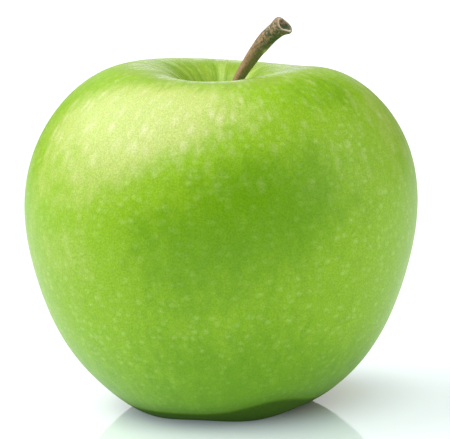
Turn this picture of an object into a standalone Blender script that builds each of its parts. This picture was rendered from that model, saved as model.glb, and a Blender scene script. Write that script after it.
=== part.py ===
"""A whole green apple with its stem, standing on its blossom end.

Metres, +Z up. The origin is at the bottom centre of the model's box, and the
front of the fruit faces -Y. Every solid is one closed body of its own.
"""
import math

import bmesh
import bpy
import numpy as np
from mathutils import Vector

# The fruit's half section, as radii and heights from the eye to the stem.
WIDEST = (0.0400, 0.0469)
BASIN_FLOOR = 0.0090
BASIN_WALL = (0.0070, 0.0060)
FOOT = (0.0148, 0.0)
UNDERSIDE = (0.0250, 0.0052)
LOWER_FLANK = (0.0333, 0.0160)
FLANK = (0.0381, 0.0280)
SHOULDER = (0.0362, 0.0582)
RIM = (0.0180, 0.0700)
CAVITY_WALL = (0.0072, 0.0656)
CAVITY_THROAT = (0.0040, 0.0600)
CAVITY_FLOOR = 0.0565

# What makes the fruit uneven: its lean, its bow and the waves of its rim.
LEAN = 0.021
BOW = -0.00049
RIM_WAVES = ((1, 0.00041, 161.0), (2, 0.00071, -46.9), (3, 0.00023, -90.0))
RIM_REACH = 0.014
LOBES = 5
LOBE_DEPTH = 0.0005
RAISED_LOBE = 0.0010
FOOT_REACH = 0.011
FOOT_FLAT = 0.00028

# How finely the fruit is divided.
MERIDIANS = 80
PARALLELS = 58
BEND_LENGTH = 0.008
SECTION_SAMPLES = 600

# The stem: the four points of its curve, and half its thickness along it.
STEM_COURSE = (
    (0.0002, 0.0, 0.0572),
    (-0.0009, -0.00015, 0.0604),
    (0.0070, -0.0012, 0.0754),
    (0.0134, -0.0024, 0.0787),
)
STEM_POINTS = 16
STEM_ROOT = 0.00127
STEM_WAIST = 0.00099
STEM_FLARE = 0.00166
WAIST_AT = 0.45
FLARE_FROM = 0.48
DISH_RADIUS = 0.0030
DISH_DEPTH = 0.00055
KNOB_RADIUS = 0.00060
BUD_AT = 0.75
BUD_RADIUS = 0.00085

# The dried calyx in the basin under the fruit.
SEPALS = 5
SEPAL_LENGTH = 0.0062
SEPAL_WIDTH = 0.0024
SEPAL_THICKNESS = 0.0006
SEPAL_FOOT = 0.0021
SEPAL_ROWS = 5
SEPAL_TAPER = 0.7
SEPAL_TIP = 0.0003
SEPAL_BULGE = 0.0016
SEPAL_CURL = 0.0010
SEPAL_CREASE = 0.0005
TUFT_RADIUS = 0.0030
TUFT_HEIGHT = 0.0016
GAP = 0.0003

# How small forms are divided, welded and shaded.
BALL_SEGMENTS = 16
BALL_RINGS = 10
WELD_DISTANCE = 0.00001
SHARP_ANGLE = 50.0


def clear_scene():
    """Remove what the open file holds."""
    for old in list(bpy.data.objects):
        bpy.data.objects.remove(old, do_unlink=True)


def new_collection(name):
    """Make a collection in the scene."""
    group = bpy.data.collections.new(name)
    bpy.context.scene.collection.children.link(group)
    return group


def material(name, colour, roughness):
    """Make a plain material."""
    mat = bpy.data.materials.new(name)
    mat.use_nodes = True
    shader = mat.node_tree.nodes["Principled BSDF"]
    shader.inputs["Base Color"].default_value = (*colour, 1.0)
    shader.inputs["Roughness"].default_value = roughness
    shader.inputs["Metallic"].default_value = 0.0
    mat.diffuse_color = (*colour, 1.0)
    return mat


def object_from_bmesh(form, name, group):
    """Put a bmesh into a new object of a collection."""
    mesh = bpy.data.meshes.new(name)
    form.to_mesh(mesh)
    form.free()
    obj = bpy.data.objects.new(name, mesh)
    group.objects.link(obj)
    return obj


class ClosedSpline:
    """A cubic spline round a closed ring of points, measured along its chords."""

    def __init__(self, points):
        self.points = np.array(points)
        ahead = np.roll(self.points, -1, axis=0) - self.points
        self.span = np.linalg.norm(ahead, axis=1)
        self.at = np.concatenate(([0.0], np.cumsum(self.span)))
        self.slope = self.solve_slopes(ahead / self.span[:, None])

    def solve_slopes(self, chord):
        """Find the slope at each point that makes the bend continuous."""
        count = len(self.points)
        span = self.span
        before = np.roll(span, 1)
        system = np.zeros((count, count))
        for i in range(count):
            system[i, i - 1] = span[i]
            system[i, i] = 2.0 * (span[i] + before[i])
            system[i, (i + 1) % count] = before[i]
        pull = before[:, None] * chord + span[:, None] * np.roll(chord, 1, axis=0)
        return np.linalg.solve(system, 3.0 * pull)

    def point(self, distance):
        """Return the point that lies a distance along the chords."""
        i = min(int(np.searchsorted(self.at, distance, side="right")) - 1, len(self.span) - 1)
        j = (i + 1) % len(self.points)
        h = self.span[i]
        t = (distance - self.at[i]) / h
        start = (1 + 2 * t) * (1 - t) ** 2 * self.points[i] + t * (1 - t) ** 2 * h * self.slope[i]
        end = t * t * (3 - 2 * t) * self.points[j] - t * t * (1 - t) * h * self.slope[j]
        return start + end


class FruitForm:
    """The fruit's outer surface, by distance down the section and by azimuth."""

    def __init__(self):
        half = [(0.0, BASIN_FLOOR), BASIN_WALL, FOOT, UNDERSIDE, LOWER_FLANK, FLANK, WIDEST,
                SHOULDER, RIM, CAVITY_WALL, CAVITY_THROAT, (0.0, CAVITY_FLOOR)]
        mirrored = [(-radius, height) for radius, height in reversed(half[1:-1])]
        self.section = ClosedSpline(half + mirrored)
        self.foot_at = self.section.at[half.index(FOOT)]
        self.rim_at = self.section.at[half.index(RIM)]
        self.length = self.section.at[len(half) - 1]
        self.shift = Vector((0.0, 0.0, 0.0))
        self.shift = self.find_shift()

    def raw_point(self, distance, azimuth):
        """Return a surface point before the fruit is set down and centred."""
        radius, height = self.section.point(distance)
        at_rim = math.exp(-((distance - self.rim_at) / RIM_REACH) ** 2)
        at_foot = math.exp(-((distance - self.foot_at) / FOOT_REACH) ** 2)
        for waves, lift, turn in RIM_WAVES:
            height += at_rim * lift * math.cos(waves * azimuth - math.radians(turn))
        height += at_foot * LOBE_DEPTH * (1.0 - math.cos(LOBES * azimuth)) / 2.0
        height += at_foot * RAISED_LOBE * max(0.0, math.cos(azimuth)) ** 3
        x = radius * math.cos(azimuth)
        y = radius * math.sin(azimuth)
        return self.leaned(Vector((x, y, height)))

    def leaned(self, point):
        """Lean and bow an upright point without lifting the foot's middle."""
        rise = min(max(point.z / RIM[1], 0.0), 1.0)
        x = point.x + LEAN * (point.z - RIM[1] / 2.0) + BOW * math.sin(math.pi * rise)
        return Vector((x, point.y, point.z - LEAN * point.x * point.z / RIM[1]))

    def find_shift(self):
        """Find the move that sets the flats at zero and centres the box."""
        ring = [2.0 * math.pi * i / MERIDIANS for i in range(MERIDIANS)]
        rows = np.linspace(0.0, self.length, 4 * PARALLELS)
        points = np.array([self.raw_point(row, turn) for row in rows for turn in ring])
        low = points.min(axis=0)
        high = points.max(axis=0)
        return Vector((-(low[0] + high[0]) / 2.0, -(low[1] + high[1]) / 2.0, -low[2] - FOOT_FLAT))

    def surface_point(self, distance, azimuth):
        """Return a point of the finished surface, flattened where it stands."""
        point = self.raw_point(distance, azimuth) + self.shift
        point.z = max(point.z, 0.0)
        return point

    def rows(self):
        """Return distances for the parallels, closest where the section bends most."""
        fine = np.linspace(0.0, self.length, SECTION_SAMPLES)
        course = np.array([self.section.point(d) for d in fine])
        way = np.gradient(course, axis=0)
        step = np.linalg.norm(way, axis=1)
        heading = np.unwrap(np.arctan2(way[:, 1], way[:, 0]))
        weight = step + BEND_LENGTH * np.abs(np.gradient(heading))
        travelled = np.concatenate(([0.0], np.cumsum((weight[1:] + weight[:-1]) / 2.0)))
        return np.interp(np.linspace(0.0, travelled[-1], PARALLELS + 1), travelled, fine)


def make_fruit(form, group):
    """Model the fruit: a sphere whose parallels follow the half section."""
    mesh = bmesh.new()
    bmesh.ops.create_uvsphere(mesh, u_segments=MERIDIANS, v_segments=PARALLELS, radius=1.0)
    rows = form.rows()
    for vert in mesh.verts:
        polar = math.acos(max(-1.0, min(1.0, -vert.co.z)))
        row = round(PARALLELS * polar / math.pi)
        vert.co = form.surface_point(rows[row], math.atan2(vert.co.y, vert.co.x))
    return object_from_bmesh(mesh, "fruit", group)


def bezier_point(course, t):
    """Return the point and the heading of a four-point curve at t."""
    a, b, c, d = (Vector(p) for p in course)
    u = 1.0 - t
    point = u ** 3 * a + 3 * u * u * t * b + 3 * u * t * t * c + t ** 3 * d
    heading = 3 * u * u * (b - a) + 6 * u * t * (c - b) + 3 * t * t * (d - c)
    return point, heading.normalized()


def smooth_step(low, high, t):
    """Rise smoothly from 0 to 1 between two values."""
    x = max(0.0, min(1.0, (t - low) / (high - low)))
    return x * x * (3.0 - 2.0 * x)


def stem_radius(t):
    """Return half the stem's thickness at t, with its root and its flared end."""
    root = STEM_ROOT + (STEM_WAIST - STEM_ROOT) * smooth_step(0.0, WAIST_AT, t)
    return root + (STEM_FLARE - STEM_WAIST) * smooth_step(FLARE_FROM, 1.0, t)


def mesh_from_curve(curve, name, group):
    """Turn a bevelled curve into a mesh object with welded caps."""
    bpy.context.view_layer.update()
    evaluated = curve.evaluated_get(bpy.context.evaluated_depsgraph_get())
    mesh = bpy.data.meshes.new_from_object(evaluated)
    form = bmesh.new()
    form.from_mesh(mesh)
    bmesh.ops.remove_doubles(form, verts=form.verts, dist=WELD_DISTANCE)
    place = curve.matrix_world.copy()
    bpy.data.objects.remove(curve, do_unlink=True)
    obj = object_from_bmesh(form, name, group)
    obj.matrix_world = place
    return obj


def stem_tube(group, shift):
    """Model the stem's round shaft."""
    data = bpy.data.curves.new("stem_course", "CURVE")
    data.dimensions = "3D"
    data.bevel_depth = 1.0
    data.bevel_resolution = 4
    data.use_fill_caps = True
    line = data.splines.new("POLY")
    line.points.add(STEM_POINTS - 1)
    for i, knot in enumerate(line.points):
        t = i / (STEM_POINTS - 1)
        point, _ = bezier_point(STEM_COURSE, t)
        knot.co = (*(point + shift), 1.0)
        knot.radius = stem_radius(t)
    curve = bpy.data.objects.new("stem_course", data)
    group.objects.link(curve)
    return mesh_from_curve(curve, "stem", group)


def ball(name, group, centre, radius, stretch=(1.0, 1.0, 1.0)):
    """Model a small round form."""
    mesh = bmesh.new()
    bmesh.ops.create_uvsphere(mesh, u_segments=BALL_SEGMENTS, v_segments=BALL_RINGS, radius=radius)
    bmesh.ops.scale(mesh, vec=stretch, verts=mesh.verts)
    obj = object_from_bmesh(mesh, name, group)
    obj.location = centre
    return obj


def boolean(target, operation, tool):
    """Join or cut an object with another object or a collection."""
    step = target.modifiers.new(operation.lower(), "BOOLEAN")
    step.operation = operation
    step.solver = "EXACT"
    if isinstance(tool, bpy.types.Collection):
        step.operand_type = "COLLECTION"
        step.collection = tool
    else:
        step.object = tool


def hide_guide(obj):
    """Mark an object as a cutter or a guide."""
    obj.hide_render = True
    obj.display_type = "WIRE"


def make_stem(form, group, cutters):
    """Model the stem: shaft, dished end with two knobs, and bud scar."""
    stem = stem_tube(group, form.shift)
    tip, heading = bezier_point(STEM_COURSE, 1.0)
    tip += form.shift
    above = (Vector((0.0, 0.0, 1.0)) - heading * heading.z).normalized()
    for name, side in (("upper_knob", 1.0), ("lower_knob", -1.0)):
        place = tip + side * above * (STEM_FLARE - KNOB_RADIUS / 2.0) - heading * KNOB_RADIUS / 3.0
        knob = ball(name, cutters, place, KNOB_RADIUS)
        boolean(stem, "UNION", knob)
    bud_place, bud_heading = bezier_point(STEM_COURSE, BUD_AT)
    under = (bud_heading * bud_heading.z - Vector((0.0, 0.0, 1.0))).normalized()
    bud_place += form.shift + under * stem_radius(BUD_AT)
    boolean(stem, "UNION", ball("bud_scar", cutters, bud_place, BUD_RADIUS, (1.0, 0.8, 0.8)))
    dish_centre = tip + heading * (DISH_RADIUS - DISH_DEPTH)
    boolean(stem, "DIFFERENCE", ball("dish_cutter", cutters, dish_centre, DISH_RADIUS))
    return stem


def sepal(name, group, floor, azimuth):
    """Model one dried sepal, narrowing and curling towards its tip."""
    mesh = bmesh.new()
    bmesh.ops.create_grid(mesh, x_segments=2, y_segments=SEPAL_ROWS, size=0.5)
    for vert in mesh.verts:
        along = vert.co.y + 0.5
        across = 2.0 * vert.co.x
        swell = math.sin(math.pi * along)
        half_width = SEPAL_WIDTH / 2.0 * (1.0 - along) ** SEPAL_TAPER + SEPAL_TIP
        out = SEPAL_FOOT + SEPAL_BULGE * swell - SEPAL_CURL * along * along
        out += SEPAL_CREASE * swell * (1.0 - abs(across))
        vert.co = Vector((out, half_width * across, floor - SEPAL_LENGTH * along))
    obj = object_from_bmesh(mesh, name, group)
    obj.rotation_euler.z = azimuth
    shell = obj.modifiers.new("thickness", "SOLIDIFY")
    shell.thickness = SEPAL_THICKNESS
    shell.offset = 0.0
    return obj


def make_calyx(form, group, cutters):
    """Model the dried calyx: a tuft and its sepals, joined into one body."""
    eye = form.surface_point(0.0, 0.0)
    tuft_centre = Vector((eye.x, eye.y, eye.z - GAP - TUFT_HEIGHT / 2.0))
    flat = TUFT_HEIGHT / 2.0 / TUFT_RADIUS
    calyx = ball("calyx", group, tuft_centre, TUFT_RADIUS, (1.0, 1.0, flat))
    for i in range(SEPALS):
        turn = 2.0 * math.pi * i / SEPALS
        leaf = sepal(f"sepal_{i + 1}", cutters, tuft_centre.z, turn)
        leaf.location = (eye.x, eye.y, 0.0)
        boolean(calyx, "UNION", leaf)
    return calyx


def finish_piece(obj, mat):
    """Give a piece its material and smooth shading."""
    obj.data.materials.clear()
    obj.data.materials.append(mat)
    obj.data.shade_smooth()
    obj.data.set_sharp_from_angle(angle=math.radians(SHARP_ANGLE))


def main():
    """Build the apple."""
    clear_scene()
    group = new_collection("green_apple")
    cutters = new_collection("cutters")
    form = FruitForm()
    finish_piece(make_fruit(form, group), material("green_skin", (0.30, 0.50, 0.06), 0.30))
    finish_piece(make_stem(form, group, cutters), material("stem_bark", (0.20, 0.13, 0.06), 0.70))
    finish_piece(make_calyx(form, group, cutters), material("dried_sepal", (0.13, 0.10, 0.05), 0.85))
    for guide in cutters.objects:
        hide_guide(guide)


main()
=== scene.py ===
"""Dresses a whole green apple: its waxed skin with pores, woody stem and dried calyx.

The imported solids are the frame, in metres, +Z up, with the fruit's front towards -Y.
Each piece here is a finer mesh of the same form and stands for one of those solids.
"""
import logging
import math
from dataclasses import dataclass, field
from enum import Enum

import bpy
import numpy as np
from mathutils import Matrix, Vector, noise


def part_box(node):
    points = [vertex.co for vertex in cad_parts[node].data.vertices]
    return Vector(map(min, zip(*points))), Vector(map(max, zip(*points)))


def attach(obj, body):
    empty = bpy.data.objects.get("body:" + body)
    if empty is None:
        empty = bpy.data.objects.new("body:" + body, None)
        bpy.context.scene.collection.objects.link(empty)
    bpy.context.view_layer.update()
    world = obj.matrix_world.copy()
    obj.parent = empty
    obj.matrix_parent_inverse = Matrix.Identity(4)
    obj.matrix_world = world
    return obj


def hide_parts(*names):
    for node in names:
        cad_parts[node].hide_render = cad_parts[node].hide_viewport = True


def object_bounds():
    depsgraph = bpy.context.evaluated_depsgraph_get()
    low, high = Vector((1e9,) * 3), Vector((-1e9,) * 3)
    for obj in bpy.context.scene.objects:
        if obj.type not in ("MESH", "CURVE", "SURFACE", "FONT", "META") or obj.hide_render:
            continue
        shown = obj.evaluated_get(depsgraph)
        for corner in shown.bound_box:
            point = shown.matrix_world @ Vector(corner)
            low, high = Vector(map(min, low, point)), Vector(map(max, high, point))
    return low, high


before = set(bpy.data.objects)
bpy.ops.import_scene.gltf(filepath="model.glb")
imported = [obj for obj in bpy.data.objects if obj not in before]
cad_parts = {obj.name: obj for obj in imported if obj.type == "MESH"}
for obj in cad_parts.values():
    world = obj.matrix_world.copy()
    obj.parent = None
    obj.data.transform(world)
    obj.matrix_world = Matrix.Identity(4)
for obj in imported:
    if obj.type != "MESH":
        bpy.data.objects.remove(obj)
CAD_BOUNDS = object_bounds()

LOG = logging.getLogger("green_apple")
PHOTO_WIDTH_PX = 450
PHOTO_HEIGHT_PX = 439
RIM_SHARE = 0.42
GOLDEN_ANGLE = 2.399963

Pair = tuple[float, float]
Triple = tuple[float, float, float]
Colour = Triple
Socket = bpy.types.NodeSocket


class Axis(Enum):
    """Directions round the fruit as the camera sees them."""

    LEFT = (-0.95, -0.17, 0.26)
    RIGHT = (0.95, -0.17, 0.26)
    HORIZON = (0.0, 0.982, 0.189)
    UP = (0.0, 0.0, 1.0)
    FRONT_UP = (0.0, -0.70, 0.71)
    LEFT_UP = (-0.60, -0.10, 0.79)


class NodeSheet:
    """A node tree, with short calls for the nodes that the finishes use."""

    def __init__(self, tree: bpy.types.NodeTree) -> None:
        """Keep the tree and empty it."""
        self.tree = tree
        tree.nodes.clear()

    def add(self, kind: str, *values: object, **settings: object) -> bpy.types.Node:
        """Add a node.

        Args:
            kind: The node's type name.
            *values: What goes into its first inputs.
            **settings: Properties of the node.

        Returns:
            The new node.
        """
        node = self.tree.nodes.new(kind)
        for name, value in settings.items():
            setattr(node, name, value)
        for socket, value in zip(node.inputs, values):
            self.feed(socket, value)
        return node

    def feed(self, socket: Socket, value: object) -> None:
        """Link a socket to another one, or set its value.

        Args:
            socket: The input.
            value: A socket, a number, a vector or a colour.
        """
        if isinstance(value, Socket):
            self.tree.links.new(value, socket)
        elif isinstance(value, tuple) and len(value) == 3 and len(socket.default_value) == 4:
            socket.default_value = (*value, 1.0)
        else:
            socket.default_value = value

    def put(self, node: bpy.types.Node, values: dict[str, object]) -> None:
        """Feed a node's inputs by their names."""
        for name, value in values.items():
            self.feed(node.inputs[name], value)

    def attribute(self, name: str, output: str = "Fac") -> Socket:
        """Read a mesh attribute, as a number ("Fac") or as a "Vector"."""
        return self.add("ShaderNodeAttribute", attribute_name=name).outputs[output]

    def math(self, operation: str, *values: object) -> Socket:
        """Work out a number from others, by an operation such as "MULTIPLY"."""
        return self.add("ShaderNodeMath", *values, operation=operation).outputs[0]

    def times(self, first: object, second: object) -> Socket:
        """Multiply two numbers."""
        return self.math("MULTIPLY", first, second)

    def stretch(self, vector: Socket, factors: Triple) -> Socket:
        """Multiply a vector by one factor for each axis."""
        return self.add("ShaderNodeVectorMath", vector, factors, operation="MULTIPLY").outputs[0]

    def height(self, vector: Socket) -> Socket:
        """Return a vector's third number."""
        return self.add("ShaderNodeSeparateXYZ", vector).outputs["Z"]

    def grey(self, value: Socket) -> Socket:
        """Make a grey colour of a number."""
        return self.add("ShaderNodeCombineColor", value, value, value).outputs[0]

    def noise(self, vector: Socket, grain: float, detail: float = 2.0, distortion: float = 0.0) -> Socket:
        """Make soft noise from 0 to 1.

        Args:
            vector: Where it is read, in metres.
            grain: The size of its lumps, in metres.
            detail: How many finer layers it has.
            distortion: How much it is swirled.

        Returns:
            The noise.
        """
        node = self.add("ShaderNodeTexNoise", vector)
        self.put(node, {"Scale": 1.0 / grain, "Detail": detail, "Distortion": distortion})
        return node.outputs["Fac"]

    def cells(self, vector: Socket, pitch: float) -> tuple[Socket, Socket]:
        """Scatter points.

        Args:
            vector: Where they are read, in metres.
            pitch: Their mean distance, in metres.

        Returns:
            The distance to the nearest point, in pitches, and that point's own random colour.
        """
        node = self.add("ShaderNodeTexVoronoi", vector, feature="F1")
        node.inputs["Scale"].default_value = 1.0 / pitch
        return node.outputs["Distance"], node.outputs["Color"]

    def fade(self, value: Socket, start: float, end: float, low: float = 0.0, high: float = 1.0) -> Socket:
        """Pass smoothly from one number to another.

        Args:
            value: What is followed.
            start: Where the passage starts.
            end: Where it ends, above or below the start.
            low: The result at and before the start.
            high: The result at and after the end.

        Returns:
            The result.
        """
        limits = (start, end, low, high) if start < end else (end, start, high, low)
        return self.add("ShaderNodeMapRange", value, *limits, interpolation_type="SMOOTHSTEP").outputs[0]

    def mix(self, factor: object, first: object, second: object, blend: str = "MIX") -> Socket:
        """Mix two colours.

        Args:
            factor: How much of the second there is.
            first: A colour or a socket.
            second: A colour or a socket.
            blend: The way of mixing.

        Returns:
            The mixed colour.
        """
        node = self.add("ShaderNodeMix", factor, data_type="RGBA", blend_type=blend)
        self.feed(node.inputs[6], first)
        self.feed(node.inputs[7], second)
        return node.outputs[2]

    def bump(self, height: Socket, distance: float, strength: float = 1.0) -> Socket:
        """Turn a height into a bent normal.

        Args:
            height: The height, from 0 to 1.
            distance: How high 1 is, in metres.
            strength: How much of it shows.

        Returns:
            The normal.
        """
        node = self.add("ShaderNodeBump")
        self.put(node, {"Strength": strength, "Distance": distance, "Height": height})
        return node.outputs[0]


def new_finish(name: str) -> tuple[bpy.types.Material, NodeSheet, bpy.types.Node]:
    """Start a material.

    Args:
        name: The material's name.

    Returns:
        The material, its node sheet and its shader node.
    """
    material = bpy.data.materials.new(name)
    material.use_nodes = True
    sheet = NodeSheet(material.node_tree)
    shader = sheet.add("ShaderNodeBsdfPrincipled")
    sheet.add("ShaderNodeOutputMaterial", shader.outputs[0])
    return material, sheet, shader


def new_piece(name: str, points: np.ndarray, faces: list[tuple[int, ...]]) -> bpy.types.Object:
    """Make a smooth mesh object.

    Args:
        name: The piece's name.
        points: Its points, in metres.
        faces: The points of each face.

    Returns:
        The object, in the scene.
    """
    mesh = bpy.data.meshes.new(name)
    mesh.from_pydata(points.tolist(), [], faces)
    mesh.validate()
    mesh.shade_smooth()
    piece = bpy.data.objects.new(name, mesh)
    bpy.context.scene.collection.objects.link(piece)
    return piece


def paint_attribute(piece: bpy.types.Object, name: str, values: np.ndarray) -> None:
    """Keep a number or a vector with each point of a mesh.

    Args:
        piece: The mesh object.
        name: The attribute's name.
        values: One number or one vector for each point.
    """
    kind, field = ("FLOAT", "value") if values.ndim == 1 else ("FLOAT_VECTOR", "vector")
    layer = piece.data.attributes.new(name, kind, "POINT")
    layer.data.foreach_set(field, values.astype(np.float32).ravel())


def ring_faces(rings: int, around: int, first: int = 0) -> list[tuple[int, ...]]:
    """List the faces between neighbouring rings of points.

    Args:
        rings: How many rings there are.
        around: How many points each has.
        first: The number of the first ring's first point.

    Returns:
        Four points for each face.
    """
    faces = []
    for ring in range(rings - 1):
        low = first + ring * around
        for i in range(around):
            j = (i + 1) % around
            faces.append((low + i, low + j, low + around + j, low + around + i))
    return faces


def smooth_step(low: float, high: float, t: np.ndarray | float) -> np.ndarray | float:
    """Rise smoothly from 0 to 1 between two values of t."""
    x = np.clip((t - low) / (high - low), 0.0, 1.0)
    return x * x * (3.0 - 2.0 * x)


def lumps(points: np.ndarray, grain: float, seed: float) -> np.ndarray:
    """Read soft noise at points.

    Args:
        points: The places, in metres.
        grain: The size of a lump, in metres.
        seed: Which noise it is.

    Returns:
        One number from about -1 to 1 for each point.
    """
    shift = Vector((seed, 2.0 * seed, -seed))
    return np.array([noise.noise(Vector(p) / grain + shift) for p in points])


def circle(centre: Vector, radius: float, count: int) -> list[Vector]:
    """Return points round a level circle, clockwise from above."""
    turns = (-2.0 * math.pi * i / count for i in range(count))
    return [centre + Vector((radius * math.cos(a), radius * math.sin(a), 0.0)) for a in turns]


class ClosedSpline:
    """A cubic spline round a closed ring of points, measured along its chords."""

    def __init__(self, points: list[Pair]) -> None:
        """Fit the spline.

        Args:
            points: The ring's points.
        """
        self.points = np.array(points)
        ahead = np.roll(self.points, -1, axis=0) - self.points
        self.span = np.linalg.norm(ahead, axis=1)
        self.at = np.concatenate(([0.0], np.cumsum(self.span)))
        self.slope = self.solve_slopes(ahead / self.span[:, None])

    def solve_slopes(self, chord: np.ndarray) -> np.ndarray:
        """Find the slope at each point that makes the bend continuous.

        Args:
            chord: The direction of each span.

        Returns:
            One slope for each point.
        """
        count = len(self.points)
        before = np.roll(self.span, 1)
        system = np.zeros((count, count))
        for i in range(count):
            system[i, i - 1] = self.span[i]
            system[i, i] = 2.0 * (self.span[i] + before[i])
            system[i, (i + 1) % count] = before[i]
        pull = before[:, None] * chord + self.span[:, None] * np.roll(chord, 1, axis=0)
        return np.linalg.solve(system, 3.0 * pull)

    def read(self, distance: np.ndarray) -> np.ndarray:
        """Read points of the spline.

        Args:
            distance: Distances along the chords.

        Returns:
            The point at each distance.
        """
        i = np.clip(np.searchsorted(self.at, distance, side="right") - 1, 0, len(self.span) - 1)
        j = (i + 1) % len(self.points)
        h = self.span[i][:, None]
        t = (distance[:, None] - self.at[i][:, None]) / h
        start = (1 + 2 * t) * (1 - t) ** 2 * self.points[i] + t * (1 - t) ** 2 * h * self.slope[i]
        return start + t * t * (3 - 2 * t) * self.points[j] - t * t * (1 - t) * h * self.slope[j]


@dataclass(frozen=True)
class SkinFinish:
    """Waxed green skin: clouded, with pores, soft blotches on the shoulders and a streaked hollow; its tone
    carries painted highlight and painted shade, and a painted shadow band darkens the underside.
    """

    painted_shade_green: Colour = (0.158, 0.368, 0.001)
    mid_green: Colour = (0.276, 0.508, 0.011)
    painted_highlight_green: Colour = (0.510, 0.622, 0.147)
    rim_green: Colour = (0.285, 0.460, 0.030)
    underside_shadow_green: Colour = (0.054, 0.128, 0.003)
    pore: Colour = (0.480, 0.680, 0.160)
    blotch: Colour = (0.660, 0.705, 0.310)
    streak: Colour = (0.480, 0.660, 0.150)
    furrow: Colour = (0.130, 0.330, 0.008)
    roughness: float = 0.32
    foot_roughness: float = 0.95
    rim_shine: float = 0.28
    ior: float = 1.32
    cloud: float = 0.010
    mottle: float = 0.0024
    streak_width: float = 0.0062
    brush_width: float = 0.0022
    blotch_pitch: float = 0.0024
    blotch_edge: float = 0.0012
    pore_pitch: float = 0.00185
    hollow_reach: float = 0.006
    grain: float = 0.00030
    relief: float = 0.00004

    def build(self, shape: "FruitShape") -> bpy.types.Material:
        """Make the material.

        Args:
            shape: The fruit's form, which says where its zones lie.

        Returns:
            The material.
        """
        material, sheet, shader = new_finish("waxed_green_skin")
        chart = sheet.attribute("skin_chart", "Vector")
        along = sheet.height(chart)
        grain = sheet.noise(chart, self.grain, 1.0)
        # The tone carries painted highlight and painted shade; random mottling is added to it in ground.
        tone = sheet.attribute("tone")
        showing = sheet.fade(tone, 0.05, 0.45, 0.35, 1.0)
        pores = sheet.times(self.pores(sheet, chart), showing)
        colour = self.ground(sheet, chart, tone)
        showing = sheet.fade(tone, 0.5, 0.95, 0.36, 1.0)
        shoulders = sheet.fade(along, shape.station_at(shape.widest) * 0.90, shape.rim_at * 0.86)
        blotches = sheet.times(self.blotches(sheet, chart, shoulders), showing)
        colour = sheet.mix(blotches, colour, self.blotch)
        colour = sheet.mix(pores, colour, self.pore)
        inside = sheet.fade(along, shape.rim_at, shape.rim_at + self.hollow_reach)
        colour = self.hollow(sheet, inside, colour)
        # Painted shadow: a dark green band round the underside, just above where the fruit rests.
        foot = sheet.attribute("foot")
        colour = sheet.mix(foot, colour, self.underside_shadow_green)
        shade = sheet.fade(grain, 0.25, 0.75, 0.86, 1.14)
        colour = sheet.mix(1.0, colour, sheet.grey(shade), "MULTIPLY")
        rim = sheet.attribute("rim")
        brushed = sheet.noise(sheet.attribute("spokes", "Vector"), self.brush_width, 3.0)
        shine = sheet.fade(rim, RIM_SHARE, 1.0, 0.0, -self.rim_shine)
        waxed = sheet.times(shine, sheet.fade(brushed, 0.40, 0.60, 0.3, 1.2))
        change = sheet.math("ADD", waxed, sheet.fade(rim, 0.0, RIM_SHARE, 0.0, 0.10))
        plain = sheet.fade(foot, 0.0, 1.0, self.roughness, self.foot_roughness)
        near_rim = sheet.times(brushed, sheet.fade(rim, RIM_SHARE, 1.0, 0.0, 2.4))
        relief = sheet.math("ADD", sheet.math("ADD", grain, near_rim), sheet.times(pores, 0.8))
        sheet.put(shader, {
            "Base Color": colour,
            "Roughness": sheet.math("ADD", change, plain),
            "IOR": self.ior,
            "Normal": sheet.bump(relief, self.relief),
        })
        return material

    def ground(self, sheet: NodeSheet, chart: Socket, tone: Socket) -> Socket:
        """Colour the skin under its marks, with painted highlight and painted shade.

        Args:
            sheet: The node sheet.
            chart: The skin's chart.
            tone: How far painted highlight raises the skin's colour and painted shade lowers it, from 0 to 1.

        Returns:
            The colour.
        """
        wide = sheet.noise(sheet.stretch(chart, (1.0, 1.0, 0.5)), self.cloud, 2.0, 0.4)
        fine = sheet.noise(sheet.stretch(chart, (1.0, 1.0, 0.6)), self.mottle, 3.0, 0.2)
        cloud = sheet.math("ADD", sheet.times(wide, 0.30), sheet.times(fine, 0.40))
        tone = sheet.math("ADD", tone, sheet.math("SUBTRACT", cloud, 0.35))
        # Painted shade and painted highlight: a darker green where the tone is low, a paler yellow-green
        # where it is high.
        colour = sheet.mix(sheet.fade(tone, 0.0, 0.5), self.painted_shade_green, self.mid_green)
        colour = sheet.mix(sheet.fade(tone, 0.5, 1.0), colour, self.painted_highlight_green)
        uneven = sheet.times(sheet.math("SUBTRACT", fine, 0.5), 1.2)
        rim = sheet.math("ADD", sheet.attribute("rim"), uneven)
        return sheet.mix(sheet.fade(rim, 0.20, 0.60), colour, self.rim_green)

    def blotches(self, sheet: NodeSheet, chart: Socket, zone: Socket) -> Socket:
        """Scatter the soft pale blotches of the shoulders.

        Args:
            sheet: The node sheet.
            chart: The skin's chart.
            zone: Where they may lie, from 0 to 1.

        Returns:
            How much of a blotch shows.
        """
        chart = sheet.stretch(chart, (1.0, 1.0, 0.66))
        near, tone = sheet.cells(chart, self.blotch_pitch)
        ragged = sheet.times(sheet.noise(chart, self.blotch_edge, 3.0, 0.5), 0.8)
        spot = sheet.fade(sheet.math("ADD", near, ragged), 1.05, 0.38)
        some = sheet.fade(sheet.height(tone), 0.05, 0.80, 0.10, 0.80)
        return sheet.times(sheet.times(spot, zone), some)

    def pores(self, sheet: NodeSheet, chart: Socket) -> Socket:
        """Scatter the small round pores.

        Args:
            sheet: The node sheet.
            chart: The skin's chart.

        Returns:
            How much of a pore shows.
        """
        near, tone = sheet.cells(sheet.stretch(chart, (1.0, 1.0, 1.25)), self.pore_pitch)
        core = sheet.fade(near, 0.22, 0.03, 0.0, 0.70)
        halo = sheet.fade(near, 0.60, 0.06, 0.0, 0.40)
        some = sheet.fade(sheet.height(tone), 0.10, 0.95, 0.15, 1.00)
        return sheet.times(sheet.math("MAXIMUM", core, halo), some)

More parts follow.
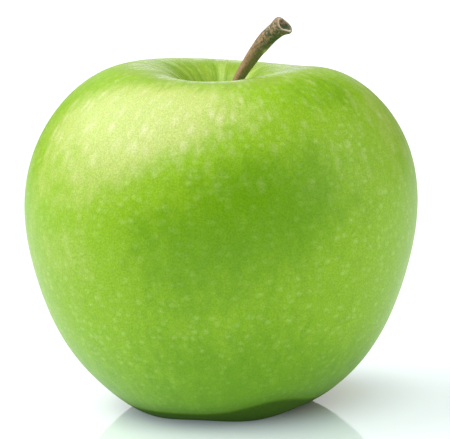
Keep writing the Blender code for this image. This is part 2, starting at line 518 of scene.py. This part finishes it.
    def hollow(self, sheet: NodeSheet, zone: Socket, colour: Socket) -> Socket:
        """Draw the pale and dark streaks that run into the stem's hollow.

        Args:
            sheet: The node sheet.
            zone: Where they may lie, from 0 to 1.
            colour: The skin's colour so far.

        Returns:
            The colour with streaks.
        """
        lines = sheet.noise(sheet.attribute("spokes", "Vector"), self.streak_width, 3.0)
        pale = sheet.times(sheet.fade(lines, 0.51, 0.66, 0.0, 0.65), zone)
        dark = sheet.times(sheet.fade(lines, 0.48, 0.36, 0.0, 0.40), zone)
        colour = sheet.mix(dark, colour, self.furrow)
        return sheet.mix(pale, colour, self.streak)


@dataclass(frozen=True)
class FruitShape:
    """The fruit's outer form: a half section of named stations, turned, leaned and waved."""

    widest: Pair = (0.0400, 0.0469)
    basin_floor: float = 0.0090
    basin_wall: Pair = (0.0070, 0.0060)
    foot: Pair = (0.0148, 0.0)
    underside: Pair = (0.0250, 0.0052)
    lower_flank: Pair = (0.0333, 0.0160)
    flank: Pair = (0.0381, 0.0280)
    shoulder: Pair = (0.0362, 0.0582)
    rim: Pair = (0.0180, 0.0700)
    cavity_wall: Pair = (0.0072, 0.0656)
    cavity_throat: Pair = (0.0040, 0.0600)
    cavity_floor: float = 0.0565
    lean: float = 0.021
    bow: float = -0.00049
    rim_waves: tuple[tuple[int, float, float], ...] = (
        (1, 0.00041, 161.0),
        (2, 0.00071, -46.9),
        (3, 0.00023, -90.0),
    )
    rim_reach: float = 0.014
    lobes: int = 5
    lobe_depth: float = 0.0005
    raised_lobe: float = 0.0010
    foot_reach: float = 0.011
    foot_flat: float = 0.00028

    def half_section(self) -> list[Pair]:
        """Return the stations from the eye to the stem."""
        return [(0.0, self.basin_floor), self.basin_wall, self.foot, self.underside, self.lower_flank,
                self.flank, self.widest, self.shoulder, self.rim, self.cavity_wall,
                self.cavity_throat, (0.0, self.cavity_floor)]

    def section(self) -> ClosedSpline:
        """Return the whole section, as a closed spline."""
        half = self.half_section()
        return ClosedSpline(half + [(-radius, height) for radius, height in reversed(half[1:-1])])

    def station_at(self, station: Pair) -> float:
        """Return how far along the section a station lies."""
        return float(self.section().at[self.half_section().index(station)])

    @property
    def foot_at(self) -> float:
        """Where the foot lies along the section."""
        return self.station_at(self.foot)

    @property
    def rim_at(self) -> float:
        """Where the rim of the stem's hollow lies along the section."""
        return self.station_at(self.rim)

    @property
    def length(self) -> float:
        """The length of the half section, from the eye to the stem."""
        return float(self.section().at[len(self.half_section()) - 1])

    def raw(self, along: np.ndarray, turn: np.ndarray) -> np.ndarray:
        """Work out surface points before the fruit is set down and centred.

        Args:
            along: Distances along the section, from the eye.
            turn: Azimuths, in radians.

        Returns:
            One point for each pair.
        """
        radius, height = self.section().read(along).T
        at_rim = np.exp(-((along - self.rim_at) / self.rim_reach) ** 2)
        at_foot = np.exp(-((along - self.foot_at) / self.foot_reach) ** 2)
        for waves, lift, phase in self.rim_waves:
            height = height + at_rim * lift * np.cos(waves * turn - math.radians(phase))
        height = height + at_foot * self.lobe_depth * (1.0 - np.cos(self.lobes * turn)) / 2.0
        height = height + at_foot * self.raised_lobe * np.maximum(0.0, np.cos(turn)) ** 3
        x = radius * np.cos(turn)
        tall = self.rim[1]
        bowed = self.bow * np.sin(np.pi * np.clip(height / tall, 0.0, 1.0))
        leaned = x + self.lean * (height - tall / 2.0) + bowed
        return np.column_stack((leaned, radius * np.sin(turn), height - self.lean * leaned * height / tall))


@dataclass(frozen=True)
class PaintedLightPatch:
    """A soft oval of painted highlight or painted shade on the skin, placed in degrees as the camera sees
    them.
    """

    azimuth: float
    latitude: float
    width: float
    height: float
    weight: float
    start: float = 1.40
    full: float = 0.30
    tilt: float = 0.0

    def amount(self, out: np.ndarray) -> np.ndarray:
        """Work out how much painted highlight or painted shade the patch adds to the tone.

        Args:
            out: Directions from the fruit's core.

        Returns:
            One number for each direction.
        """
        azimuth = np.degrees(np.arctan2(out[:, 0], -out[:, 1])) - self.azimuth
        latitude = np.degrees(np.arcsin(np.clip(out[:, 2], -1.0, 1.0))) - self.latitude - self.tilt * azimuth
        away = np.hypot(azimuth / self.width, latitude / self.height)
        return self.weight * smooth_step(-self.start, -self.full, -away)


@dataclass(frozen=True)
class Fruit:
    """The fruit's skin, as one fine closed mesh."""

    shape: FruitShape
    finish: SkinFinish
    row_count: int = 220
    around: int = 300
    bend_length: float = 0.006
    equator: float = 0.040
    dent: float = 0.00016
    dent_grain: float = 0.016
    furrow: float = 0.00022
    furrow_grain: float = 0.30
    furrow_zone: Pair = (-0.004, 0.006)
    furrow_end: float = 0.008
    # Painted shade: the skin's tone is lowered towards the bottom.
    low_shade: float = 0.42
    low_zone: Pair = (0.006, 0.036)
    rim_front: Pair = (-0.010, -0.003)
    rim_crest: Pair = (-0.0045, 0.0025)
    # The painted shadow band round the underside: its side, width, height, swell and the soft painted shade
    # above its edge.
    foot_side: float = -1.13
    foot_width: float = 0.38
    foot_height: float = 0.0081
    foot_swell: float = 0.0042
    foot_shade: float = 0.34
    foot_fade: float = 0.0044
    foot_edge: float = 0.0006
    # Painted highlight where the weight is positive, painted shade where it is negative.
    light_and_shade_patches: tuple[PaintedLightPatch, ...] = (
        PaintedLightPatch(-31.0, 28.0, 42.0, 18.5, 0.54, 1.38, 0.38, 0.13),
        PaintedLightPatch(-58.0, -18.0, 34.0, 26.0, 0.17, 1.30, 0.20),
        PaintedLightPatch(5.0, -3.0, 39.0, 20.0, -0.48, 1.45, 0.20, 0.20),
        PaintedLightPatch(-42.0, 5.0, 42.0, 9.0, 0.17, 1.30, 0.20),
        PaintedLightPatch(48.0, 36.5, 26.0, 11.0, -0.25),
        PaintedLightPatch(-54.0, -5.0, 22.0, 6.0, -0.06),
        PaintedLightPatch(76.0, 22.0, 16.0, 20.0, 0.22),
        PaintedLightPatch(18.0, -48.0, 40.0, 14.0, -0.12),
        PaintedLightPatch(-4.0, -33.0, 62.0, 17.0, -0.15, 1.45, 0.25),
    )

    def rows(self) -> np.ndarray:
        """Place the rows, closest where the section bends most.

        Returns:
            Their distances along the section.
        """
        fine = np.linspace(0.0, self.shape.length, 900)
        way = np.gradient(self.shape.section().read(fine), axis=0)
        heading = np.unwrap(np.arctan2(way[:, 1], way[:, 0]))
        weight = np.linalg.norm(way, axis=1) + self.bend_length * np.abs(np.gradient(heading))
        gone = np.concatenate(([0.0], np.cumsum((weight[1:] + weight[:-1]) / 2.0)))
        return np.interp(np.linspace(0.0, gone[-1], self.row_count + 1), gone, fine)

    def build(self) -> bpy.types.Object:
        """Make the skin, dress it and put it in the fruit's place.

        Returns:
            The skin.
        """
        rows = self.rows()
        inner = rows[1:-1]
        turns = np.linspace(0.0, 2.0 * np.pi, self.around, endpoint=False)
        along = np.concatenate(([rows[0]], np.repeat(inner, self.around), [rows[-1]]))
        turn = np.concatenate(([0.0], np.tile(turns, len(inner)), [0.0]))
        points = self.shape.raw(along, turn)
        points = points + self.relief(points, along, turn)
        points = self.settle(points)
        skin = new_piece("apple_skin", points, self.faces(len(inner)))
        self.chart(skin, points, along, turn)
        skin.data.materials.append(self.finish.build(self.shape))
        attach(skin, "root")
        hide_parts("fruit")
        return skin

    def faces(self, rings: int) -> list[tuple[int, ...]]:
        """List the skin's faces, with a fan at each end.

        Args:
            rings: How many rings of points lie between the ends.

        Returns:
            The points of each face.
        """
        around = self.around
        last = rings * around + 1
        faces = ring_faces(rings, around, 1)
        for i in range(around):
            j = (i + 1) % around
            faces.append((0, 1 + j, 1 + i))
            faces.append((last, last - around + i, last - around + j))
        return faces

    def relief(self, points: np.ndarray, along: np.ndarray, turn: np.ndarray) -> np.ndarray:
        """Work out the low dents of the flanks and the furrows of the hollow.

        Args:
            points: The smooth points.
            along: Their distances along the section.
            turn: Their azimuths.

        Returns:
            How far each point is moved.
        """
        out = self.outward(points)
        dents = self.dent * lumps(points, self.dent_grain, seed=3.0)
        spokes = np.column_stack((np.cos(turn), np.sin(turn), 12.0 * along))
        hollow = smooth_step(*self.furrow_zone, along - self.shape.rim_at)
        ending = smooth_step(0.0, self.furrow_end, self.shape.length - along)
        furrows = self.furrow * lumps(spokes, self.furrow_grain, seed=7.0) * hollow * ending
        return out * dents[:, None] + np.column_stack((np.zeros((len(points), 2)), furrows))

    def outward(self, points: np.ndarray) -> np.ndarray:
        """Return the direction of each point from the fruit's core."""
        out = points - np.array([0.0, 0.0, self.shape.widest[1]])
        return out / np.linalg.norm(out, axis=1)[:, None]

    def settle(self, points: np.ndarray) -> np.ndarray:
        """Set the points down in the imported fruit's box.

        Args:
            points: The points as worked out.

        Returns:
            The points in place.
        """
        box_low, box_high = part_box("fruit")
        low = points.min(axis=0)
        high = points.max(axis=0)
        centre = (low + high) / 2.0
        placed = points - np.array([centre[0], centre[1], low[2] + self.shape.foot_flat])
        placed[:, 2] = np.maximum(placed[:, 2], 0.0)
        extent = np.array([high[0] - low[0], high[1] - low[1], placed[:, 2].max()])
        middle = np.array(box_high + box_low) / 2.0
        placed = placed * np.array(box_high - box_low) / extent
        return placed + np.array([middle[0], middle[1], box_low[2]])

    def chart(self, skin: bpy.types.Object, points: np.ndarray, along: np.ndarray, turn: np.ndarray) -> None:
        """Keep with the skin what its finish reads.

        Args:
            skin: The skin.
            points: Its points.
            along: Their distances along the section.
            turn: Their azimuths.
        """
        around = self.equator * np.column_stack((np.cos(turn), np.sin(turn)))
        paint_attribute(skin, "skin_chart", np.column_stack((around, along)))
        paint_attribute(skin, "spokes", np.column_stack((around, 0.15 * along)))
        out = self.outward(points)
        # Tone: painted shade towards the bottom, plus the painted highlight and painted shade patches.
        low = 1.0 - smooth_step(*self.low_zone, along - self.shape.foot_at)
        tone = 0.5 - self.low_shade * low + sum(patch.amount(out) for patch in self.light_and_shade_patches)
        paint_attribute(skin, "tone", tone)
        to_rim = along - self.shape.rim_at
        crest = (1.0 - RIM_SHARE) * smooth_step(*self.rim_crest, to_rim)
        paint_attribute(skin, "rim", RIM_SHARE * smooth_step(*self.rim_front, to_rim) + crest)
        # The painted shadow band round the underside, taller towards one side, with a softer painted shade
        # above its sharp edge.
        away = np.angle(np.exp(1j * (turn - self.foot_side)))
        swell = self.foot_swell * np.exp(-(away / self.foot_width) ** 2)
        inside = self.shape.foot_at + self.foot_height + swell - along
        dark = (1.0 - self.foot_shade) * smooth_step(-self.foot_edge, self.foot_edge, inside)
        shaded = self.foot_shade * smooth_step(-self.foot_fade, 0.0, inside)
        paint_attribute(skin, "foot", shaded + dark)


@dataclass(frozen=True)
class BarkFinish:
    """Woody stalk: tan on its upper side, dark green below, mottled, with a pale cut ring."""

    tan: Colour = (0.340, 0.195, 0.085)
    green_brown: Colour = (0.150, 0.148, 0.060)
    dark_fleck: Colour = (0.032, 0.070, 0.010)
    pale_fleck: Colour = (0.420, 0.240, 0.150)
    ring: Colour = (0.930, 0.800, 0.600)
    scar: Colour = (0.560, 0.580, 0.260)
    roughness: float = 0.62
    fleck: float = 0.00055

    def build(self) -> bpy.types.Material:
        """Make the material.

        Returns:
            The material.
        """
        material, sheet, shader = new_finish("stalk_bark")
        chart = sheet.attribute("bark_chart", "Vector")
        upper = sheet.attribute("upper_side")
        fibres = sheet.noise(sheet.stretch(chart, (1.0, 1.0, 0.12)), 0.00035, 3.0)
        side = sheet.math("ADD", upper, sheet.times(sheet.math("SUBTRACT", fibres, 0.5), 0.7))
        colour = sheet.mix(sheet.fade(side, 0.42, 0.95), self.green_brown, self.tan)
        flecks = sheet.noise(chart, self.fleck, 2.0, 0.6)
        tip = sheet.attribute("near_tip")
        below = sheet.fade(side, 0.62, 0.20, 0.0, 0.8)
        dark = sheet.times(sheet.math("MAXIMUM", sheet.fade(flecks, 0.48, 0.56), below), tip)
        pale = sheet.times(sheet.fade(flecks, 0.42, 0.36, 0.0, 0.8), tip)
        colour = sheet.mix(dark, colour, self.dark_fleck)
        colour = sheet.mix(pale, colour, self.pale_fleck)
        speck = sheet.fade(sheet.noise(chart, 0.00022, 1.0), 0.3, 0.7, 0.72, 1.28)
        colour = sheet.mix(1.0, colour, sheet.grey(speck), "MULTIPLY")
        colour = sheet.mix(sheet.attribute("cut_ring"), colour, self.ring)
        colour = sheet.mix(sheet.attribute("bud_scar"), colour, self.scar)
        relief = sheet.bump(fibres, 0.00012, 0.8)
        sheet.put(shader, {"Base Color": colour, "Roughness": self.roughness, "Normal": relief})
        return material


@dataclass(frozen=True)
class StemShape:
    """The stem's form: its curve and half its thickness along it."""

    course: tuple[Triple, ...] = (
        (0.0002, 0.0, 0.0564),
        (-0.0009, -0.00015, 0.0600),
        (0.0070, -0.0012, 0.0754),
        (0.01345, -0.0024, 0.0785),
    )
    root: float = 0.00127
    waist: float = 0.00102
    flare: float = 0.00172
    waist_at: float = 0.45
    flare_zone: Pair = (0.42, 0.90)
    length: float = 0.026
    dish_depth: float = 0.0008
    knob: float = 0.00034
    knob_at: float = 0.985
    knob_reach: float = 0.035
    saddle: float = 0.00012
    cut_from: float = 0.86
    cut_tilt: float = 0.45
    cut_turn: float = 0.60
    lip: float = 0.00034
    lip_share: float = 0.35
    scar_at: float = 0.755
    scar_turn: float = 2.70
    scar_size: float = 0.00062
    scar_fall: float = 1.6
    scar_rise: float = 0.00016

    def point(self, t: float) -> tuple[Vector, Vector]:
        """Follow the curve.

        Args:
            t: How far along it, from 0 to 1.

        Returns:
            The point and the heading there.
        """
        a, b, c, d = (Vector(p) for p in self.course)
        u = 1.0 - t
        place = u ** 3 * a + 3 * u * u * t * b + 3 * u * t * t * c + t ** 3 * d
        heading = 3 * u * u * (b - a) + 6 * u * t * (c - b) + 3 * t * t * (d - c)
        return place, heading.normalized()

    def radius(self, t: float) -> float:
        """Return half the thickness at t."""
        slim = self.root + (self.waist - self.root) * smooth_step(0.0, self.waist_at, t)
        return slim + (self.flare - self.waist) * smooth_step(*self.flare_zone, t)

    def edge_rise(self, t: float, turn: float) -> float:
        """Return how far the tilted and saddled cut lifts a point along the stem."""
        cut = self.saddle * math.cos(2.0 * turn) - self.cut_tilt * self.flare * math.sin(turn + self.cut_turn)
        return cut * smooth_step(self.cut_from, 1.0, t)

    def scar_amount(self, t: float, turn: float) -> float:
        """Return how much of the bud scar is at a place, from 0 to 1."""
        along, beside = (t - self.scar_at) * self.length, (turn - self.scar_turn) * self.radius(t)
        return math.exp(-self.scar_fall * (along ** 2 + beside ** 2) / self.scar_size ** 2)


@dataclass(frozen=True)
class Stem:
    """The woody stem, with its flared and dished end."""

    shape: StemShape
    finish: BarkFinish
    shift: Triple = (0.0003, 0.0, -0.0002)
    rings: int = 110
    around: int = 56
    dish_rings: int = 12
    ridge: float = 0.05
    lump: float = 0.10
    lit_turn: float = 0.35
    mottled: Pair = (0.64, 0.87)
    ring_at: float = 0.22
    ring_width: float = 0.11

    def build(self) -> bpy.types.Object:
        """Make the stem, dress it and put it in its place.

        Returns:
            The stem.
        """
        points, marks = self.shaft()
        tip, heading = self.shape.point(1.0)
        points.append(tip + Vector(self.shift) - heading * self.shape.dish_depth)
        marks.append((0.0, 0.0, 1.0, 0.5, 1.0, 0.0, 0.0))
        faces = ring_faces(self.rings + self.dish_rings, self.around)
        last = len(points) - 1
        for i in range(self.around):
            faces.append((last, last - self.around + i, last - self.around + (i + 1) % self.around))
        faces.append(tuple(reversed(range(self.around))))
        stem = new_piece("woody_stem", np.array(points), faces)
        table = np.array(marks)
        paint_attribute(stem, "bark_chart", table[:, :3])
        for column, name in enumerate(("upper_side", "near_tip", "cut_ring", "bud_scar"), 3):
            paint_attribute(stem, name, table[:, column])
        stem.data.materials.append(self.finish.build())
        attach(stem, "root")
        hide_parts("stem")
        return stem

    def shaft(self) -> tuple[list[Vector], list[tuple[float, ...]]]:
        """Work out the rings up the shaft, over the cut's edge and into its dish.

        Returns:
            The points, and what the finish reads at each.
        """
        shape = self.shape
        points: list[Vector] = []
        marks: list[tuple[float, ...]] = []
        for ring in range(self.rings + self.dish_rings):
            inward = max(0.0, (ring - self.rings + 1) / (self.dish_rings + 1))
            bead = math.pi * min(1.0, inward / shape.lip_share)
            deep = max(0.0, (inward - shape.lip_share) / (1.0 - shape.lip_share))
            sink = shape.dish_depth * (1.0 - (1.0 - deep) ** 3)
            t = min(1.0, ring / (self.rings - 1))
            centre, heading = shape.point(t)
            above = (Vector((0.0, 0.0, 1.0)) - heading * heading.z).normalized()
            across = heading.cross(above)
            for i in range(self.around):
                turn = 2.0 * math.pi * i / self.around
                side = above * math.cos(turn) + across * math.sin(turn)
                radius = (self.ring_radius(t, turn) - shape.lip * (1.0 - math.cos(bead))) * (1.0 - deep)
                rise = shape.edge_rise(t, turn) * (1.0 - deep) + shape.lip * math.sin(bead)
                place = centre + side * radius + heading * (rise - sink)
                points.append(place + Vector(self.shift))
                marks.append(self.marks(t, turn, inward))
        return points, marks

    def ring_radius(self, t: float, turn: float) -> float:
        """Work out the distance from the curve to the bark.

        Args:
            t: The place along the curve.
            turn: The angle from the upper side.

        Returns:
            The distance, in metres.
        """
        shape = self.shape
        ridges = self.ridge * math.cos(5.0 * turn + 4.0 * t) * noise.noise(Vector((3.0 * t, 0.0, 1.0)))
        spot = Vector((math.cos(turn), math.sin(turn), 7.0 * t))
        uneven = self.lump * noise.noise(spot * 1.3) * (0.35 + 0.65 * t)
        near_end = math.exp(-((t - shape.knob_at) / shape.knob_reach) ** 2)
        knob = shape.knob * max(0.0, math.cos(2.0 * turn)) ** 1.5 * near_end
        bud = shape.scar_rise * shape.scar_amount(t, turn)
        return shape.radius(t) * (1.0 + ridges + uneven) + knob + bud

    def marks(self, t: float, turn: float, inward: float) -> tuple[float, ...]:
        """Work out what the finish reads.

        Args:
            t: The place along the curve.
            turn: The angle from the upper side.
            inward: How far into the dish it is, from 0 to 1.

        Returns:
            The chart's three numbers, upper side, near tip, cut ring and bud scar.
        """
        radius = self.shape.radius(t) * (1.0 - 0.8 * inward)
        along = self.shape.length * t + 0.002 * inward
        upper = 0.5 + 0.5 * math.cos(turn - self.lit_turn)
        near_tip = smooth_step(*self.mottled, t)
        facing = 0.15 + 0.85 * smooth_step(-0.3, 0.3, math.sin(turn))
        ring = facing * math.exp(-((inward - self.ring_at) / self.ring_width) ** 2)
        scar = min(1.0, 1.4 * self.shape.scar_amount(t, turn))
        return radius * math.cos(turn), radius * math.sin(turn), along, upper, near_tip, ring, scar


@dataclass(frozen=True)
class SepalFinish:
    """Dry, downy sepals and stamens."""

    dark: Colour = (0.070, 0.048, 0.022)
    light: Colour = (0.300, 0.230, 0.130)
    roughness: float = 0.85
    sheen: float = 0.3

    def build(self) -> bpy.types.Material:
        """Make the material.

        Returns:
            The material.
        """
        material, sheet, shader = new_finish("dried_sepal")
        where = sheet.add("ShaderNodeTexCoord").outputs["Object"]
        down = sheet.noise(where, 0.0004, 3.0)
        colour = sheet.mix(sheet.fade(down, 0.35, 0.65), self.dark, self.light)
        relief = sheet.bump(down, 0.00015, 0.9)
        sheet.put(shader, {"Base Color": colour, "Roughness": self.roughness, "Normal": relief})
        sheet.put(shader, {"Sheen Weight": self.sheen})
        return material


@dataclass
class Calyx:
    """The dried calyx in the basin: five curled sepals round a tuft of stamens."""

    finish: SepalFinish
    sepals: int = 5
    length: float = 0.0068
    width: float = 0.0036
    thickness: float = 0.00028
    bulge: float = 0.0016
    cup: float = 0.0006
    set_back: float = 0.0006
    rows: int = 14
    columns: int = 8
    foot_radius: float = 0.0021
    stamens: int = 16
    stamen_rings: int = 6
    stamen_sides: int = 6
    stamen_radius: float = 0.00013
    stamen_length: float = 0.0030
    stamen_spread: float = 0.0014
    stamen_bend: float = 0.0008
    tuft_rings: int = 9
    tuft_sides: int = 24
    tuft_radius: float = 0.0030
    tuft_depth: float = 0.0012
    points: list[Vector] = field(default_factory=list)
    faces: list[tuple[int, ...]] = field(default_factory=list)

    def __post_init__(self) -> None:
        """Find the middle of its top, where it is fixed."""
        low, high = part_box("calyx")
        self.root = Vector(((low.x + high.x) / 2.0, (low.y + high.y) / 2.0, high.z))

    def build(self) -> bpy.types.Object:
        """Make the calyx, dress it and put it in its place.

        Returns:
            The calyx.
        """
        self.add_tuft()
        for i in range(self.sepals):
            self.add_sepal(i)
        for i in range(self.stamens):
            self.add_stamen(i)
        calyx = new_piece("dried_calyx", np.array(self.points), self.faces)
        calyx.data.materials.append(self.finish.build())
        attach(calyx, "root")
        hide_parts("calyx")
        return calyx

    def add_rings(self, rings: list[list[Vector]]) -> None:
        """Add a closed form made of rings, with both ends filled.

        Args:
            rings: The rings of points, each as long as the next.
        """
        first = len(self.points)
        around = len(rings[0])
        for ring in rings:
            self.points.extend(ring)
        self.faces.extend(ring_faces(len(rings), around, first))
        self.faces.append(tuple(first + i for i in reversed(range(around))))
        last = first + (len(rings) - 1) * around
        self.faces.append(tuple(last + i for i in range(around)))

    def add_tuft(self) -> None:
        """Add the low boss that the sepals and stamens stand on."""
        rings = []
        for step in range(self.tuft_rings):
            bend = math.pi * (0.06 + 0.88 * step / (self.tuft_rings - 1))
            height = self.root.z - self.tuft_depth * (0.5 - 0.5 * math.cos(bend))
            centre = Vector((self.root.x, self.root.y, height))
            rings.append(circle(centre, self.tuft_radius * math.sin(bend), self.tuft_sides))
        self.add_rings(rings)

    def add_sepal(self, index: int) -> None:
        """Add one sepal as a thin closed leaf.

        Args:
            index: Which sepal it is.
        """
        turn = 2.0 * math.pi * index / self.sepals + 0.25 * noise.noise(Vector((index, 0.5, 0.5)))
        out = Vector((math.cos(turn), math.sin(turn), 0.0))
        side = Vector((-math.sin(turn), math.cos(turn), 0.0))
        curl = 0.0011 + 0.0012 * noise.noise(Vector((0.5, index, 0.3)))
        rings = []
        for row in range(self.rows):
            along = row / (self.rows - 1)
            half = self.width / 2.0 * (1.0 - along) ** 0.75 + 0.00010
            reach = self.foot_radius + self.bulge * math.sin(math.pi * along) - curl * along ** 2
            drop = self.root.z - self.set_back - self.length * along * (1.0 - 0.12 * along)
            front, back = [], []
            for column in range(self.columns):
                across = 2.0 * column / (self.columns - 1) - 1.0
                wave = 0.00018 * math.sin(5.0 * along + 3.0 * across + index)
                cup = self.cup * across * across * math.sin(math.pi * along)
                middle = self.root + side * half * across + out * (reach - cup + wave)
                middle.z = drop + 0.0002 * math.sin(7.0 * across + index) * along
                front.append(middle + out * self.thickness / 2.0)
                back.append(middle - out * self.thickness / 2.0)
            rings.append(front + back[::-1])
        self.add_rings(rings)

    def add_stamen(self, index: int) -> None:
        """Add one dried stamen as a thin bent thread.

        Args:
            index: Which stamen it is.
        """
        turn = GOLDEN_ANGLE * index
        spread = self.stamen_spread * math.sqrt((index + 0.5) / self.stamens)
        length = self.stamen_length + 0.0012 * noise.noise(Vector((index * 1.7, 0.2, 0.9)))
        base = self.root + Vector((spread * math.cos(turn), spread * math.sin(turn), -self.tuft_depth * 0.5))
        turn += 0.8
        rings = []
        for step in range(self.stamen_rings):
            along = step / (self.stamen_rings - 1)
            bend = self.stamen_bend * along * along
            centre = base + Vector((bend * math.cos(turn), bend * math.sin(turn), -length * along))
            radius = self.stamen_radius * (1.0 - 0.5 * along + (0.9 if along == 1.0 else 0.0))
            rings.append(circle(centre, radius, self.stamen_sides))
        self.add_rings(rings)


@dataclass(frozen=True)
class FloorFinish:
    """Glossy white acrylic sheet that glows softly, as if lit from below; round where the fruit stands the
    glow fades out and a darker tint is painted, as a painted contact shadow.
    """

    white: Colour = (0.67, 0.70, 0.67)
    contact_shadow_tint: Colour = (0.62, 0.62, 0.40)
    sheet_glow: Colour = (0.295, 0.345, 0.375)
    contact: Triple = (0.0045, 0.0065, 0.0)
    dark_to: float = 0.011
    lit_from: float = 0.0400
    shadow_tint_to: float = 0.019
    white_from: float = 0.029
    roughness: float = 0.06
    ior: float = 1.45

    def build(self) -> bpy.types.Material:
        """Make the material.

        Returns:
            The material.
        """
        material, sheet, shader = new_finish("white_sheet")
        where = sheet.add("ShaderNodeTexCoord").outputs["Object"]
        away = sheet.add("ShaderNodeVectorMath", where, self.contact, operation="DISTANCE").outputs["Value"]
        # Painted contact shadow: a darker yellowish tint round where the fruit stands, for the shadow and the
        # underside's reflection.
        clear = sheet.fade(away, self.shadow_tint_to, self.white_from)
        sheet.put(shader, {
            "Base Color": sheet.mix(clear, self.contact_shadow_tint, self.white),
            "Emission Color": self.sheet_glow,
            # The glow fades out towards the contact: a painted contact shadow.
            "Emission Strength": sheet.fade(away, self.dark_to, self.lit_from),
            "Roughness": self.roughness,
            "IOR": self.ior,
        })
        return material


@dataclass(frozen=True)
class KeyLamp:
    """The one large soft lamp, placed by its direction from the fruit."""

    azimuth: float = -108.0
    elevation: float = 54.0
    distance: float = 0.90
    width: float = 0.95
    depth: float = 0.75
    power: float = 5.1

    def build(self, centre: Vector) -> None:
        """Make the lamp.

        Args:
            centre: What it points at.
        """
        data = bpy.data.lights.new("key", "AREA")
        data.shape = "RECTANGLE"
        data.size = self.width
        data.size_y = self.depth
        data.energy = self.power
        lamp = bpy.data.objects.new("key", data)
        a, e = math.radians(self.azimuth), math.radians(self.elevation)
        away = Vector((math.sin(a) * math.cos(e), -math.cos(a) * math.cos(e), math.sin(e)))
        lamp.location = centre + away * self.distance
        lamp.rotation_euler = away.to_track_quat("Z", "Y").to_euler()
        lamp.visible_camera = False
        bpy.context.scene.collection.objects.link(lamp)


@dataclass(frozen=True)
class StudioGlow:
    """The pale light of the studio's walls: an even part, and more from each side."""

    even: float = 0.02
    sides: tuple[tuple[Axis, float, float], ...] = (
        (Axis.LEFT, 0.22, 4.0),
        (Axis.RIGHT, 2.25, 5.0),
        (Axis.HORIZON, 1.50, 36.0),
        (Axis.UP, 0.52, 4.0),
        (Axis.FRONT_UP, 0.50, 5.0),
        (Axis.LEFT_UP, 3.40, 6.0),
    )

    def build(self) -> None:
        """Make the world."""
        world = bpy.data.worlds.new("studio")
        world.use_nodes = True
        bpy.context.scene.world = world
        sheet = NodeSheet(world.node_tree)
        toward = sheet.add("ShaderNodeTexCoord").outputs["Generated"]
        glow = None
        for axis, amount, sharpness in self.sides:
            dot = sheet.add("ShaderNodeVectorMath", toward, axis.value, operation="DOT_PRODUCT")
            facing = sheet.math("MAXIMUM", dot.outputs["Value"], 0.0)
            part = sheet.times(sheet.math("POWER", facing, sharpness), amount)
            glow = sheet.math("ADD", part, self.even if glow is None else glow)
        background = sheet.add("ShaderNodeBackground")
        sheet.feed(background.inputs["Strength"], glow)
        sheet.add("ShaderNodeOutputWorld", background.outputs[0])


@dataclass(frozen=True)
class PhotoCamera:
    """The photo's camera, as fitted to the fruit's outline."""

    distance: float = 0.550
    elevation: float = 9.75
    roll: float = -1.77
    focal_px: float = 2673.5
    target: Triple = (0.0003, 0.0, 0.0348)
    target_px: Pair = (223.70, 237.62)
    sensor: float = 36.0
    clip: Pair = (0.02, 50.0)

    def build(self) -> None:
        """Make the camera."""
        data = bpy.data.cameras.new("photo_camera")
        data.sensor_width = self.sensor
        data.lens = self.focal_px / PHOTO_WIDTH_PX * self.sensor
        data.clip_start, data.clip_end = self.clip
        camera = bpy.data.objects.new("photo_camera", data)
        e, k = math.radians(self.elevation), math.radians(self.roll)
        back = Vector((0.0, -math.cos(e), math.sin(e)))
        right = Vector((1.0, 0.0, 0.0))
        up = back.cross(right)
        rolled_right = right * math.cos(k) + up * math.sin(k)
        rolled_up = up * math.cos(k) - right * math.sin(k)
        aside = (PHOTO_WIDTH_PX / 2.0 - self.target_px[0]) / self.focal_px
        above = (self.target_px[1] - PHOTO_HEIGHT_PX / 2.0) / self.focal_px
        aim = (rolled_right * aside + rolled_up * above - back).normalized()
        x_axis = (rolled_right - aim * rolled_right.dot(aim)).normalized()
        y_axis = x_axis.cross(aim)
        turn = Matrix((x_axis, y_axis, -aim)).transposed().to_4x4()
        place = Vector(self.target) + back * self.distance
        camera.matrix_world = Matrix.Translation(place) @ turn
        bpy.context.scene.collection.objects.link(camera)
        bpy.context.scene.camera = camera


@dataclass(frozen=True)
class Studio:
    """The floor, the lamp, the walls' glow and the camera."""

    key: KeyLamp = KeyLamp()
    glow: StudioGlow = StudioGlow()
    camera: PhotoCamera = PhotoCamera()
    floor: FloorFinish = FloorFinish()
    floor_size: float = 12.0

    def build(self, centre: Vector) -> None:
        """Make the studio.

        Args:
            centre: What the lamp points at.
        """
        self.camera.build()
        self.glow.build()
        self.key.build(centre)
        half = self.floor_size / 2.0
        corners = np.array([(-half, -half, 0.0), (half, -half, 0.0), (half, half, 0.0), (-half, half, 0.0)])
        floor = new_piece("studio_floor", corners, [(0, 1, 2, 3)])
        floor.data.materials.append(self.floor.build())
        view = bpy.context.scene.view_settings
        view.view_transform = "Standard"
        view.look = "None"


def main() -> None:
    """Build the apple and its studio in order."""
    logging.basicConfig(level=logging.INFO, format="%(message)s")
    Studio().build((CAD_BOUNDS[0] + CAD_BOUNDS[1]) / 2.0)
    LOG.info("studio: floor, lamp and camera")
    skin = Fruit(FruitShape(), SkinFinish()).build()
    LOG.info("skin: %d faces", len(skin.data.polygons))
    stem = Stem(StemShape(), BarkFinish()).build()
    LOG.info("stem: %d faces", len(stem.data.polygons))
    calyx = Calyx(SepalFinish()).build()
    LOG.info("calyx: %d faces", len(calyx.data.polygons))


if __name__ == "__main__":
    main()
